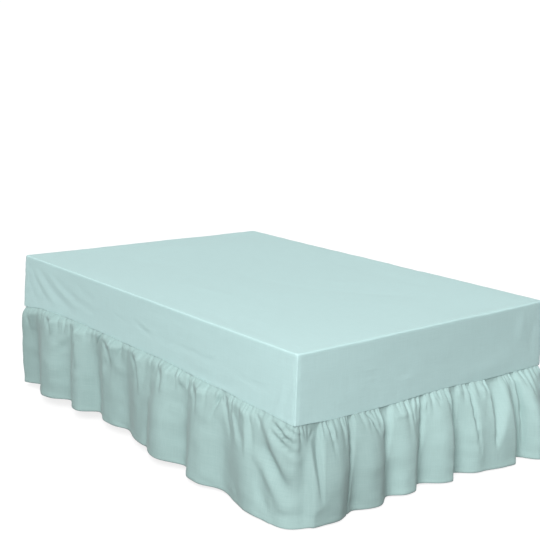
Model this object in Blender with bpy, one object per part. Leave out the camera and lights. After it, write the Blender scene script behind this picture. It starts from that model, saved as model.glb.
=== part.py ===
"""A fitted valance sheet on a double divan bed with its mattress.

Frame: metres, +Z up. The origin is the middle of the bed on the floor. The head is at +Y and the
foot at -Y. "Place" is the distance along the bed's plain rectangle, run anticlockwise from the
corner at the head's -X end: down that long side, across the foot, up the other long side, and
then back across the head.

The sheet is two cut pieces. The fitted top is one cloth: a top panel and four walls, seamed at
the corners. The frill is one strip, gathered onto the lower edge of the walls along both long
sides and the foot, and hanging to just above the floor. The head end has no frill.
"""

import math
from collections import namedtuple

import bpy
import numpy as np

# The bed.
MATTRESS_WIDTH = 1.350
MATTRESS_LENGTH = 1.900
CORNER_RADIUS = 0.016  # of the mattress, seen from above
BASE_TOP = 0.3667
BASE_INSET = 0.025  # how far the base's sides stand inside the mattress's
BASE_EDGE = 0.008
BASE_EDGE_STEPS = 3
GLIDE_HEIGHT = 0.042
GLIDE_RADIUS = 0.025
GLIDE_EDGE = 0.003
GLIDE_EDGE_STEPS = 2
GLIDE_SIDES = 32
GLIDE_COLUMNS = (-0.56, 0.0, 0.56)
GLIDE_ROWS = (-0.85, 0.0, 0.85)
MATTRESS_EDGE = 0.012  # roundness of the mattress's upper and lower edges
MATTRESS_EDGE_ROWS = 3

# The cloth.
CLOTH_THICKNESS = 0.0016
SEAT_GAP = 0.0003  # between pieces that lie on each other or are sewn together
EDGE_CLEARANCE = 0.002  # between the hanging cloth and what it hangs over
TOP_EDGE_RADIUS = 0.009  # where the top panel turns down into a wall
TOP_EDGE_ROWS = 3
WALL_ROWS = (0.0, 0.25, 0.50, 0.75)  # shares of a wall's height, up to its rounded top edge

# The frill.
FRILL_DROP = 0.367
HEM_CLEARANCE = 0.007  # above the floor, where the strip is long enough to reach it
SEAM_BAND = 0.03  # share of the drop that hangs straight under the seam
PUFF = 0.012  # how far the gathers push the strip out under the seam's band
PUFF_END = 0.13  # share of the drop where they have done so
FOLD_SPREAD = 1.6  # how early a fold reaches its depth below the seam
FRILL_ROWS = (0.0, SEAM_BAND, PUFF_END, 0.38, 0.68, 1.0)  # shares of the drop

# How finely the outline is divided.
LONG_SIDE_STEPS = 20
SHORT_SIDE_STEPS = 14
CORNER_STEPS = 4
FRILL_STEPS_PER_WALL_STEP = 4

LEFT_CORNER = MATTRESS_LENGTH  # place of the foot's corner at -X
RIGHT_CORNER = LEFT_CORNER + MATTRESS_WIDTH  # place of the foot's corner at +X
HEAD_RIGHT = RIGHT_CORNER + MATTRESS_LENGTH  # place of the head's corner at +X
ALL_ROUND = HEAD_RIGHT + MATTRESS_WIDTH

# Height of the top panel's surface at the mattress's corners: the filling is a little uneven.
TopHeight = namedtuple("TopHeight", "head_left head_right foot_left foot_right")
TOP_HEIGHT = TopHeight(head_left=0.6327, head_right=0.6140, foot_left=0.6232, foot_right=0.6321)

# The lower edge of the walls: its height, and how far it stands out from the wall's top. Across
# the head, where a hem with an elastic ends the wall, it runs just above the mattress's underside.
Edge = namedtuple("Edge", "place height out")
WALL_EDGE = (
    Edge(0.00, 0.392, 0.010),
    Edge(0.18, 0.412, 0.008),
    Edge(0.38, 0.415, 0.002),
    Edge(1.05, 0.405, 0.000),
    Edge(1.45, 0.385, 0.002),
    Edge(1.70, 0.372, 0.003),
    Edge(LEFT_CORNER, 0.361, 0.003),
    Edge(2.10, 0.352, 0.003),
    Edge(2.30, 0.350, 0.002),
    Edge(2.66, 0.359, 0.001),
    Edge(2.95, 0.352, 0.002),
    Edge(RIGHT_CORNER, 0.355, 0.004),
    Edge(3.70, 0.384, 0.002),
    Edge(4.30, 0.402, 0.000),
    Edge(4.85, 0.396, 0.004),
    Edge(HEAD_RIGHT, 0.384, 0.006),
    Edge(5.35, 0.3735, 0.000),
    Edge(6.30, 0.3735, 0.000),
    Edge(ALL_ROUND, 0.392, 0.010),
)

# The frill's folds, one row for each crest and each valley: how far the hem stands out from the
# seam there, and how far it swings along the seam. Round the two corners of the foot the strip
# swings in towards the corner, because the hem has further to go round than the seam.
Fold = namedtuple("Fold", "place out lean")
FOLDS = (
    Fold(0.000, 0.010, -0.030),
    Fold(0.109, -0.018, -0.000),
    Fold(0.272, 0.059, 0.024),
    Fold(0.411, 0.003, 0.009),
    Fold(0.508, 0.049, 0.015),
    Fold(0.608, -0.024, 0.012),
    Fold(0.729, 0.017, 0.013),
    Fold(0.853, -0.011, 0.004),
    Fold(0.989, 0.032, 0.011),
    Fold(1.056, 0.034, -0.006),
    Fold(1.150, 0.078, 0.009),
    Fold(1.276, 0.017, 0.019),
    Fold(1.392, 0.070, 0.023),
    Fold(1.514, 0.025, 0.042),
    Fold(1.661, 0.072, 0.098),
    Fold(1.755, 0.065, 0.086),
    Fold(LEFT_CORNER, 0.056, 0.000),
    Fold(1.989, 0.077, -0.066),
    Fold(2.079, 0.087, -0.052),
    Fold(2.153, 0.044, -0.014),
    Fold(2.244, 0.077, -0.008),
    Fold(2.329, 0.028, 0.004),
    Fold(2.439, 0.061, -0.002),
    Fold(2.525, 0.015, -0.004),
    Fold(2.649, 0.071, 0.000),
    Fold(2.703, 0.006, 0.005),
    Fold(2.849, 0.072, -0.016),
    Fold(2.982, 0.098, 0.010),
    Fold(3.037, 0.038, 0.023),
    Fold(3.125, 0.126, 0.023),
    Fold(RIGHT_CORNER, 0.090, 0.000),
    Fold(3.400, 0.078, -0.070),
    Fold(3.500, 0.036, -0.050),
    Fold(3.640, 0.074, -0.020),
    Fold(3.780, 0.014, 0.000),
    Fold(3.880, 0.056, 0.000),
    Fold(3.970, 0.010, 0.000),
    Fold(4.110, 0.062, 0.000),
    Fold(4.240, 0.016, 0.000),
    Fold(4.330, 0.042, 0.000),
    Fold(4.420, 0.008, 0.000),
    Fold(4.580, 0.066, 0.000),
    Fold(4.700, 0.012, 0.000),
    Fold(4.810, 0.048, 0.000),
    Fold(4.920, 0.010, 0.000),
    Fold(5.040, 0.050, 0.000),
    Fold(HEAD_RIGHT, 0.014, 0.010),
)

Finish = namedtuple("Finish", "colour roughness")
SHEET_FINISH = Finish((0.50, 0.74, 0.72), 0.85)
FRILL_FINISH = Finish((0.47, 0.70, 0.68), 0.85)
MATTRESS_FINISH = Finish((0.82, 0.80, 0.75), 0.90)
BASE_FINISH = Finish((0.72, 0.69, 0.63), 0.90)
GLIDE_FINISH = Finish((0.10, 0.10, 0.10), 0.50)


def clear_scene():
    for thing in list(bpy.data.objects):
        bpy.data.objects.remove(thing, do_unlink=True)


def material(name, finish):
    made = bpy.data.materials.new(name)
    made.use_nodes = True
    shader = made.node_tree.nodes["Principled BSDF"]
    shader.inputs["Base Color"].default_value = (*finish.colour, 1.0)
    shader.inputs["Roughness"].default_value = finish.roughness
    shader.inputs["Metallic"].default_value = 0.0
    return made


def eased(table, column, place):
    """The table's column at a place, level at each row and easing from one row to the next."""
    places = [row.place for row in table]
    values = [getattr(row, column) for row in table]
    after = int(np.searchsorted(places, place, side="right"))
    if after == 0:
        return values[0]
    if after == len(table):
        return values[-1]
    share = (place - places[after - 1]) / (places[after] - places[after - 1])
    share = share * share * (3 - 2 * share)
    return values[after - 1] + share * (values[after] - values[after - 1])


def outline(place):
    """The point on the inner rectangle of the corners' centres, and the outward direction."""
    half_width = MATTRESS_WIDTH / 2 - CORNER_RADIUS
    half_length = MATTRESS_LENGTH / 2 - CORNER_RADIUS
    corners = (
        np.array((-half_width, half_length)),
        np.array((-half_width, -half_length)),
        np.array((half_width, -half_length)),
        np.array((half_width, half_length)),
    )
    lengths = (MATTRESS_LENGTH, MATTRESS_WIDTH, MATTRESS_LENGTH, MATTRESS_WIDTH)
    place = place % ALL_ROUND
    side = 0
    while place > lengths[side]:
        place -= lengths[side]
        side += 1
    turn = math.pi + side * math.pi / 2
    start, end = corners[side], corners[(side + 1) % 4]
    # Within a radius of a corner, the direction turns and the point stays at the corner's centre.
    if place < CORNER_RADIUS:
        turn -= (1 - place / CORNER_RADIUS) * math.pi / 4
        point = start
    elif place > lengths[side] - CORNER_RADIUS:
        turn += (1 - (lengths[side] - place) / CORNER_RADIUS) * math.pi / 4
        point = end
    else:
        share = (place - CORNER_RADIUS) / (lengths[side] - 2 * CORNER_RADIUS)
        point = start + share * (end - start)
    return point, np.array((math.cos(turn), math.sin(turn)))


def at(place, offset):
    """The point at a place of the outline, so far outside the mattress's side."""
    point, direction = outline(place)
    return point + direction * (CORNER_RADIUS + offset)


def wall_places():
    """Where the walls' columns stand, and for each whether it belongs to a straight side."""
    places = []
    start = 0.0
    for length, steps in (
        (MATTRESS_LENGTH, LONG_SIDE_STEPS),
        (MATTRESS_WIDTH, SHORT_SIDE_STEPS),
    ) * 2:
        along = np.linspace(CORNER_RADIUS, length - CORNER_RADIUS, steps + 1)
        places += [start + value for value in along]
        start += length
        turn = np.linspace(-CORNER_RADIUS, CORNER_RADIUS, CORNER_STEPS + 1)[1:-1]
        places += [start + value for value in turn]
    return places


def frill_places():
    """The walls' columns along the frill, each step divided into finer ones."""
    columns = [place for place in wall_places() if place <= HEAD_RIGHT - CORNER_RADIUS / 2]
    fine = []
    for first, second in zip(columns, columns[1:]):
        steps = FRILL_STEPS_PER_WALL_STEP if second - first > CORNER_RADIUS else 2
        fine += [first + (second - first) * step / steps for step in range(steps)]
    return fine + [columns[-1]]


def top_height(x, y):
    """Height of the top panel's middle surface, straight between the four corners' heights."""
    along = y / MATTRESS_LENGTH + 0.5
    across = x / MATTRESS_WIDTH + 0.5
    foot = TOP_HEIGHT.foot_left + (TOP_HEIGHT.foot_right - TOP_HEIGHT.foot_left) * across
    head = TOP_HEIGHT.head_left + (TOP_HEIGHT.head_right - TOP_HEIGHT.head_left) * across
    return foot + (head - foot) * along


def wall_point(place, share):
    """A point on the walls, from their lower edge (share 0) to their rounded top edge (1)."""
    out = eased(WALL_EDGE, "out", place) * (1 - share)
    x, y = at(place, EDGE_CLEARANCE + CLOTH_THICKNESS / 2 + out)
    low = eased(WALL_EDGE, "height", place)
    return np.array((x, y, low + (top_height(x, y) - TOP_EDGE_RADIUS - low) * share))


def top_panel_faces(ring, grid):
    """Faces from a ring of column points to a grid whose corners are the corners' centres.

    ring holds vertex numbers in the order of wall_places(), grid vertex numbers by row and column.
    """
    last_row, last_column = len(grid) - 1, len(grid[0]) - 1
    rim = [(row, 0) for row in range(last_row, -1, -1)]
    rim += [(0, 0)] * (CORNER_STEPS - 1)
    rim += [(0, column) for column in range(last_column + 1)]
    rim += [(0, last_column)] * (CORNER_STEPS - 1)
    rim += [(row, last_column) for row in range(last_row + 1)]
    rim += [(last_row, last_column)] * (CORNER_STEPS - 1)
    rim += [(last_row, column) for column in range(last_column, -1, -1)]
    rim += [(last_row, 0)] * (CORNER_STEPS - 1)
    faces = []
    for index, inner in enumerate(rim):
        after = (index + 1) % len(ring)
        inner_after = rim[after]
        corners = [ring[index], ring[after], grid[inner_after[0]][inner_after[1]]]
        if inner_after != inner:
            corners.append(grid[inner[0]][inner[1]])
        faces.append(corners)
    for row in range(last_row):
        for column in range(last_column):
            faces.append(
                (
                    grid[row][column],
                    grid[row][column + 1],
                    grid[row + 1][column + 1],
                    grid[row + 1][column],
                )
            )
    return faces


def inner_grid():
    """The plan points of the flat part of the mattress's top, by row from the foot."""
    half_width = MATTRESS_WIDTH / 2 - CORNER_RADIUS
    half_length = MATTRESS_LENGTH / 2 - CORNER_RADIUS
    across = np.linspace(-half_width, half_width, SHORT_SIDE_STEPS + 1)
    along = np.linspace(-half_length, half_length, LONG_SIDE_STEPS + 1)
    return [[(x, y) for x in across] for y in along]


def ring_faces(lower, upper):
    """A band of faces between two closed rings, facing outwards when upper lies above lower."""
    count = len(lower)
    return [
        (lower[i], lower[(i + 1) % count], upper[(i + 1) % count], upper[i]) for i in range(count)
    ]


def add_mesh(name, points, faces, finish):
    mesh = bpy.data.meshes.new(name)
    mesh.from_pydata([tuple(map(float, point)) for point in points], [], faces)
    mesh.validate()
    mesh.shade_smooth()
    thing = bpy.data.objects.new(name, mesh)
    bpy.context.scene.collection.objects.link(thing)
    mesh.materials.append(material(name + "_finish", finish))
    return thing


def thicken(thing):
    """Gives a surface the cloth's thickness, half on each side of it."""
    solid = thing.modifiers.new("Cloth thickness", "SOLIDIFY")
    solid.thickness = CLOTH_THICKNESS
    solid.offset = 0.0
    solid.use_even_offset = True
    solid.use_rim = True


def fitted_top():
    """Top panel and four walls, from the walls' lower edge up and in over the mattress."""
    points, rings = [], []
    places = wall_places()
    wall = EDGE_CLEARANCE + CLOTH_THICKNESS / 2

    def add_ring(ring_points):
        rings.append(list(range(len(points), len(points) + len(ring_points))))
        points.extend(ring_points)

    for share in WALL_ROWS:
        add_ring([wall_point(place, share) for place in places])
    for row in range(TOP_EDGE_ROWS + 1):
        angle = math.pi / 2 * row / TOP_EDGE_ROWS
        ring = []
        for place in places:
            x, y = at(place, wall - TOP_EDGE_RADIUS * (1 - math.cos(angle)))
            height = top_height(x, y) - TOP_EDGE_RADIUS * (1 - math.sin(angle))
            ring.append((x, y, height))
        add_ring(ring)
    faces = []
    for lower, upper in zip(rings, rings[1:]):
        faces += ring_faces(lower, upper)
    grid = []
    for row in inner_grid():
        grid.append(list(range(len(points), len(points) + len(row))))
        points.extend((x, y, top_height(x, y)) for x, y in row)
    faces += top_panel_faces(rings[-1], grid)
    thicken(add_mesh("fitted_top", points, faces, SHEET_FINISH))


def seam_point(place, columns):
    """A point of the frill's seam, on the straight line between the walls' columns."""
    after = min(max(int(np.searchsorted(columns, place, side="right")), 1), len(columns) - 1)
    share = (place - columns[after - 1]) / (columns[after] - columns[after - 1])
    first, second = wall_point(columns[after - 1], 0.0), wall_point(columns[after], 0.0)
    return first + (second - first) * share - np.array((0, 0, SEAT_GAP))


def frill():
    """The gathered strip, by columns from the seam down to the hem."""
    columns = wall_places()
    points = []
    places = frill_places()
    seam_offset = EDGE_CLEARANCE + CLOTH_THICKNESS / 2
    for place in places:
        seam = seam_point(place, columns)
        swung = place + eased(FOLDS, "lean", place)
        _, direction = outline(place)
        hem_height = max(HEM_CLEARANCE, seam[2] - FRILL_DROP)
        hem = at(swung, seam_offset + eased(FOLDS, "out", place))
        for share in FRILL_ROWS:
            below_band = max(0.0, share - SEAM_BAND)
            spread = 1 - (1 - below_band / (1 - SEAM_BAND)) ** FOLD_SPREAD
            puff = PUFF * min(1.0, below_band / (PUFF_END - SEAM_BAND))
            x, y = seam[:2] * (1 - spread) + hem * spread + direction * puff
            points.append((x, y, seam[2] + (hem_height - seam[2]) * share))
    rows = len(FRILL_ROWS)
    faces = []
    for column in range(len(places) - 1):
        for row in range(rows - 1):
            corner = column * rows + row
            faces.append((corner, corner + 1, corner + rows + 1, corner + rows))
    thicken(add_mesh("frill", points, faces, FRILL_FINISH))


def mattress():
    """A plain mattress: flat below, rounded edges, its top a gap below the cloth."""
    points, rings = [], []
    places = wall_places()
    bottom = BASE_TOP + SEAT_GAP
    under_cloth = CLOTH_THICKNESS / 2 + SEAT_GAP

    def add_ring(offset, height_at):
        ring = []
        for place in places:
            x, y = at(place, offset)
            ring.append((x, y, height_at(x, y)))
        rings.append(list(range(len(points), len(points) + len(ring))))
        points.extend(ring)

    def top_at(x, y):
        return top_height(x, y) - under_cloth

    for row in range(MATTRESS_EDGE_ROWS + 1):
        angle = math.pi / 2 * row / MATTRESS_EDGE_ROWS
        height = bottom + MATTRESS_EDGE * (1 - math.cos(angle))
        add_ring(-MATTRESS_EDGE * (1 - math.sin(angle)), lambda x, y, z=height: z)
    for row in range(MATTRESS_EDGE_ROWS + 1):
        angle = math.pi / 2 * row / MATTRESS_EDGE_ROWS
        below = MATTRESS_EDGE * (1 - math.sin(angle))
        inset = -MATTRESS_EDGE * (1 - math.cos(angle))
        add_ring(inset, lambda x, y, below=below: top_at(x, y) - below)
    faces = [tuple(reversed(rings[0]))]
    for lower, upper in zip(rings, rings[1:]):
        faces += ring_faces(lower, upper)
    grid = []
    for row in inner_grid():
        grid.append(list(range(len(points), len(points) + len(row))))
        points.extend((x, y, top_at(x, y)) for x, y in row)
    faces += top_panel_faces(rings[-1], grid)
    add_mesh("mattress", points, faces, MATTRESS_FINISH)


def ease_edges(thing, width, steps):
    thing.data.set_sharp_from_angle(angle=math.radians(40))
    bevel = thing.modifiers.new("Eased edges", "BEVEL")
    bevel.width = width
    bevel.segments = steps


def bed_base():
    """The divan base: a plain upholstered box with eased edges, standing on its glides."""
    half_width = MATTRESS_WIDTH / 2 - BASE_INSET
    half_length = MATTRESS_LENGTH / 2 - BASE_INSET
    points = [
        (x, y, z)
        for z in (GLIDE_HEIGHT, BASE_TOP)
        for x, y in (
            (-half_width, -half_length),
            (half_width, -half_length),
            (half_width, half_length),
            (-half_width, half_length),
        )
    ]
    faces = [(3, 2, 1, 0), (4, 5, 6, 7)]
    faces += [(i, (i + 1) % 4, (i + 1) % 4 + 4, i + 4) for i in range(4)]
    ease_edges(add_mesh("bed_base", points, faces, BASE_FINISH), BASE_EDGE, BASE_EDGE_STEPS)


def glide(name, x, y):
    """One drum glide: a short plastic cylinder between the floor and the base's underside."""
    points = []
    for height in (0.0, GLIDE_HEIGHT - SEAT_GAP):
        for side in range(GLIDE_SIDES):
            turn = math.tau * side / GLIDE_SIDES
            plan = (x + GLIDE_RADIUS * math.cos(turn), y + GLIDE_RADIUS * math.sin(turn))
            points.append((*plan, height))
    lower = list(range(GLIDE_SIDES))
    upper = [index + GLIDE_SIDES for index in lower]
    faces = [tuple(reversed(lower)), tuple(upper)] + ring_faces(lower, upper)
    ease_edges(add_mesh(name, points, faces, GLIDE_FINISH), GLIDE_EDGE, GLIDE_EDGE_STEPS)


def glides():
    """Nine glides in three rows, one of them at the bed's middle."""
    spots = [(x, y) for y in GLIDE_ROWS for x in GLIDE_COLUMNS]
    for number, (x, y) in enumerate(spots, start=1):
        glide(f"glide_{number}", x, y)


clear_scene()
glides()
bed_base()
mattress()
fitted_top()
frill()
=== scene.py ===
"""A fitted valance sheet on a double divan bed: what shows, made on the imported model's frame.

Metres, +Z up, head of the bed at +Y. "Place" is the distance along the bed's plain rectangle, run
anticlockwise from the corner at the head's -X end: down that long side, across the foot, up the
other long side, and then back across the head.
"""

import math

import bpy
import numpy as np
from mathutils import Matrix, Vector


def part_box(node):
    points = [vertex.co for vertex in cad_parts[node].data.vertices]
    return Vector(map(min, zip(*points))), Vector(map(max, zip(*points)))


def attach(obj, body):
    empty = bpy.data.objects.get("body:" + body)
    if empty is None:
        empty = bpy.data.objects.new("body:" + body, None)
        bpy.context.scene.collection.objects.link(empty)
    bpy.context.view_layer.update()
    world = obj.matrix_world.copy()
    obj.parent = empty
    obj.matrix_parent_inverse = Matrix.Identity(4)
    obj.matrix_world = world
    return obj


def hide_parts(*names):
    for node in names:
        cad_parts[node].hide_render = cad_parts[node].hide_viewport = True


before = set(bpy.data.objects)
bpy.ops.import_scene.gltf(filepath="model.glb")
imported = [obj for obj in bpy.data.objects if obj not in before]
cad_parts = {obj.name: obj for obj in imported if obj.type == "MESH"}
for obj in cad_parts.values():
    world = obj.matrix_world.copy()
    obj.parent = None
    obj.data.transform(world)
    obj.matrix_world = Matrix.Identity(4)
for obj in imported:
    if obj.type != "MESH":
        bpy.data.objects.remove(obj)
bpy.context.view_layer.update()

# ---- The divan base -------------------------------------------------------------------------
# A timber frame covered in plain pale upholstery cloth, stapled underneath. The frill hangs in
# front of it on three sides, so it shows only at the head.

BASE_COVER_COLOUR = (0.80, 0.78, 0.73)
BASE_COVER_SHADE = (0.74, 0.72, 0.67)
BASE_COVER_MOTTLING = (90, 90, 90)  # patches a metre, across each axis
BASE_COVER_ROUGHNESS = 0.92
BASE_THREAD = 0.0011
BASE_THREAD_HEIGHT = 0.0002


def new_finish(name, roughness):
    made = bpy.data.materials.new(name)
    made.use_nodes = True
    shader = made.node_tree.nodes["Principled BSDF"]
    shader.inputs["Roughness"].default_value = roughness
    return made, made.node_tree, shader


def add_node(tree, kind, values=None, **settings):
    node = tree.nodes.new(kind)
    for key, value in settings.items():
        setattr(node, key, value)
    for key, value in (values or {}).items():
        node.inputs[key].default_value = value
    return node


def mottled(tree, where, scale, first, second, low=0.35, high=0.65):
    """A colour that wanders between two, with the noise's size set by scale."""
    noise = add_node(tree, "ShaderNodeTexNoise", {"Scale": 1.0, "Detail": 3.0})
    sized = add_node(tree, "ShaderNodeMapping", {"Scale": scale})
    tree.links.new(where, sized.inputs["Vector"])
    tree.links.new(sized.outputs[0], noise.inputs["Vector"])
    ramp = add_node(tree, "ShaderNodeValToRGB")
    ramp.color_ramp.elements[0].position = low
    ramp.color_ramp.elements[1].position = high
    ramp.color_ramp.elements[0].color = (*first, 1.0)
    ramp.color_ramp.elements[1].color = (*second, 1.0)
    tree.links.new(noise.outputs["Fac"], ramp.inputs["Fac"])
    return ramp.outputs["Color"]


def mottled_finish(name, roughness, patches, first, second):
    """A finish whose colour wanders between two, with so many patches a metre."""
    made, tree, shader = new_finish(name, roughness)
    where = add_node(tree, "ShaderNodeTexCoord").outputs["Object"]
    tree.links.new(mottled(tree, where, patches, first, second), shader.inputs["Base Color"])
    return made, tree, shader, where


def raise_threads(tree, shader, where, axes, pitch, height):
    """Threads that cross each other, raised on the surface: one wave across each axis."""
    total = None
    for axis in axes:
        wave = add_node(
            tree,
            "ShaderNodeTexWave",
            {"Scale": math.tau / (20 * pitch), "Distortion": 0.4, "Detail": 1.0},
            bands_direction=axis,
        )
        tree.links.new(where, wave.inputs["Vector"])
        if total is None:
            total = wave.outputs["Fac"]
            continue
        added = add_node(tree, "ShaderNodeMath", operation="ADD")
        tree.links.new(total, added.inputs[0])
        tree.links.new(wave.outputs["Fac"], added.inputs[1])
        total = added.outputs[0]
    bump = add_node(tree, "ShaderNodeBump", {"Strength": 1.0, "Distance": height})
    tree.links.new(total, bump.inputs["Height"])
    tree.links.new(bump.outputs["Normal"], shader.inputs["Normal"])


base_cover, tree, shader, where = mottled_finish(
    "base_cover", BASE_COVER_ROUGHNESS, BASE_COVER_MOTTLING, BASE_COVER_SHADE, BASE_COVER_COLOUR
)
raise_threads(tree, shader, where, "XYZ", BASE_THREAD, BASE_THREAD_HEIGHT)
base_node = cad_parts["bed_base"]
base_node.data.materials.clear()
base_node.data.materials.append(base_cover)

# ---- The glides -----------------------------------------------------------------------------
# Nine drum glides of moulded black plastic, pushed into the timber under the base. They lift
# its underside clear of the floor.

GLIDE_COLOUR = (0.045, 0.045, 0.048)
GLIDE_SCUFFED = (0.085, 0.083, 0.080)
GLIDE_SCUFFING = (60, 60, 160)  # patches a metre, across each axis
GLIDE_ROUGHNESS = 0.5

plastic = mottled_finish(
    "glide_plastic", GLIDE_ROUGHNESS, GLIDE_SCUFFING, GLIDE_COLOUR, GLIDE_SCUFFED
)[0]
for name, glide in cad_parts.items():
    if name.startswith("glide_"):
        glide.data.materials.clear()
        glide.data.materials.append(plastic)

# ---- The mattress ---------------------------------------------------------------------------
# A sprung mattress in plain off-white ticking: a side border between two corded edges, and a
# lightly tufted top. The sheet is drawn over it and hides all but its bottom edge at the head.

MATTRESS_WIDTH = 1.350
MATTRESS_LENGTH = 1.900
CORNER_RADIUS = 0.016
ROUND_THE_BED = 2 * (MATTRESS_WIDTH + MATTRESS_LENGTH)
LEFT_CORNER = MATTRESS_LENGTH
RIGHT_CORNER = LEFT_CORNER + MATTRESS_WIDTH
HEAD_RIGHT = RIGHT_CORNER + MATTRESS_LENGTH
# Height of the sheet's top at the corners of the bed: head -X, head +X, foot -X, foot +X.
TOP_CORNERS = (0.6327, 0.6140, 0.6232, 0.6321)
MATTRESS_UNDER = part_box("mattress")[0][2]
UNDER_THE_SHEET = 0.0050
CORD_WIDTH = 0.010
CORD_PROUD = 0.003
CORD_FROM_FACE = 0.009  # from the mattress's underside or top to the cord's near edge
LOWER_CORD_INWARD = 0.0005
UPPER_CORD_INWARD = 0.0015
BORDER_INWARD = CORD_PROUD + 0.0012
# The border's rows, above the underside and below the top.
BORDER_RISES = (0.026, 0.060, 0.110)
BORDER_DROPS = (0.090, 0.050, 0.026)
# The rounding beyond the cords: how far in, and how far above the underside or below the top.
UNDERSIDE_ROUNDING = ((0.014, 0.0), (0.008, 0.001))
TOP_ROUNDING = ((0.008, 0.003), (0.013, 0.0008))
TUFTING_DEPTH = 0.0008
TUFTING_WAVE = 20  # radians a metre
TICKING_COLOUR = (0.80, 0.78, 0.72)
TICKING_SHADE = (0.74, 0.72, 0.66)
TICKING_MOTTLING = (40, 40, 40)  # patches a metre, across each axis
TICKING_ROUGHNESS = 0.88
TICKING_THREAD = 0.0009
TICKING_THREAD_HEIGHT = 0.00015


def outline(place):
    """Points on the rectangle of the corners' centres, and their outward directions."""
    place = np.mod(place, ROUND_THE_BED)
    starts = np.array((0.0, LEFT_CORNER, RIGHT_CORNER, HEAD_RIGHT))
    lengths = np.array((MATTRESS_LENGTH, MATTRESS_WIDTH) * 2)
    side = np.clip(np.searchsorted(starts, place, side="right") - 1, 0, 3)
    along, length = place - starts[side], lengths[side]
    half_width = MATTRESS_WIDTH / 2 - CORNER_RADIUS
    half_length = MATTRESS_LENGTH / 2 - CORNER_RADIUS
    corners = np.array(((-1, 1), (-1, -1), (1, -1), (1, 1))) * (half_width, half_length)
    turn = math.pi + side * math.pi / 2
    turn = turn - np.clip(1 - along / CORNER_RADIUS, 0, None) * math.pi / 4
    turn = turn + np.clip(1 - (length - along) / CORNER_RADIUS, 0, None) * math.pi / 4
    share = np.clip((along - CORNER_RADIUS) / (length - 2 * CORNER_RADIUS), 0, 1)[:, None]
    points = corners[side] * (1 - share) + corners[(side + 1) % 4] * share
    return points, np.stack((np.cos(turn), np.sin(turn)), axis=1)


def beside_bed(place, offset):
    """Points so far outside the mattress's side, at these places."""
    points, outward = outline(place)
    return points + outward * (CORNER_RADIUS + np.zeros(len(place)) + offset)[:, None]


def top_height(x, y):
    head_left, head_right, foot_left, foot_right = TOP_CORNERS
    across, along = x / MATTRESS_WIDTH + 0.5, y / MATTRESS_LENGTH + 0.5
    foot = foot_left + (foot_right - foot_left) * across
    head = head_left + (head_right - head_left) * across
    return foot + (head - foot) * along


def places_round(side_steps, corner_steps):
    """Places all round the bed: steps for the long and short sides, and finer ones at corners."""
    places, start = [], 0.0
    for length, steps in zip((MATTRESS_LENGTH, MATTRESS_WIDTH) * 2, side_steps * 2):
        places.append(start + np.linspace(CORNER_RADIUS, length - CORNER_RADIUS, steps + 1))
        start += length
        turn = np.linspace(-CORNER_RADIUS, CORNER_RADIUS, corner_steps + 1)[1:-1]
        places.append(start + turn)
    return np.concatenate(places)


def rings_to_faces(rings):
    """Faces between closed rings of point numbers, from the lowest ring to the highest."""
    faces = []
    for lower, upper in zip(rings, rings[1:]):
        lower_next, upper_next = np.roll(lower, -1), np.roll(upper, -1)
        faces += np.stack((lower, lower_next, upper_next, upper), axis=1).tolist()
    return faces


def grid_inside(first, side_steps):
    """Plan points of the panel inside the corners' centres, and their numbers by row."""
    half_width = MATTRESS_WIDTH / 2 - CORNER_RADIUS
    half_length = MATTRESS_LENGTH / 2 - CORNER_RADIUS
    rows, columns = side_steps[0] + 1, side_steps[1] + 1
    y, x = np.meshgrid(
        np.linspace(-half_length, half_length, rows),
        np.linspace(-half_width, half_width, columns),
        indexing="ij",
    )
    return x.ravel(), y.ravel(), first + np.arange(rows * columns).reshape(rows, columns)


def panel_faces(ring, grid, corner_steps):
    """Faces of a panel: its own grid, and the band between its edge and the ring round it."""
    at_corner = corner_steps - 1
    rim = [*grid[::-1, 0], *[grid[0, 0]] * at_corner, *grid[0], *[grid[0, -1]] * at_corner]
    rim += [*grid[:, -1], *[grid[-1, -1]] * at_corner, *grid[-1, ::-1]]
    rim += [grid[-1, 0]] * at_corner
    faces = []
    for index in range(len(ring)):
        after = (index + 1) % len(ring)
        face = [ring[index], ring[after], rim[after]]
        faces.append(face if rim[after] == rim[index] else [*face, rim[index]])
    quads = np.stack((grid[:-1, :-1], grid[:-1, 1:], grid[1:, 1:], grid[1:, :-1]), axis=2)
    return faces + quads.reshape(-1, 4).tolist()


def new_piece(name, points, faces, finish):
    mesh = bpy.data.meshes.new(name)
    mesh.from_pydata(np.asarray(points).tolist(), [], faces)
    mesh.validate()
    mesh.shade_smooth()
    mesh.materials.append(finish)
    piece = bpy.data.objects.new(name, mesh)
    bpy.context.scene.collection.objects.link(piece)
    return piece


ticking, tree, shader, where = mottled_finish(
    "mattress_ticking", TICKING_ROUGHNESS, TICKING_MOTTLING, TICKING_SHADE, TICKING_COLOUR
)
raise_threads(tree, shader, where, "XYZ", TICKING_THREAD, TICKING_THREAD_HEIGHT)

MATTRESS_SIDE_STEPS = (48, 34)
MATTRESS_CORNER_STEPS = 6
places = places_round(MATTRESS_SIDE_STEPS, MATTRESS_CORNER_STEPS)
points, rings = [], []


def mattress_ring(inward, rise, from_top):
    """A ring this far in from the mattress's side, above its underside or below its top."""
    plan = beside_bed(places, -inward)
    height = MATTRESS_UNDER + rise
    if from_top:
        height = top_height(plan[:, 0], plan[:, 1]) - UNDER_THE_SHEET - rise
    rings.append(len(points) * len(places) + np.arange(len(places)))
    points.append(np.column_stack((plan, np.zeros(len(places)) + height)))


def mattress_cord(turns, inward, from_top):
    """The rings of one corded edge, over its half round."""
    for turn in turns:
        across = CORD_PROUD * (1 - math.cos(turn))
        rise = CORD_FROM_FACE + CORD_WIDTH / 2 * (1 + math.sin(turn))
        mattress_ring(inward + across, rise, from_top)


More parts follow.
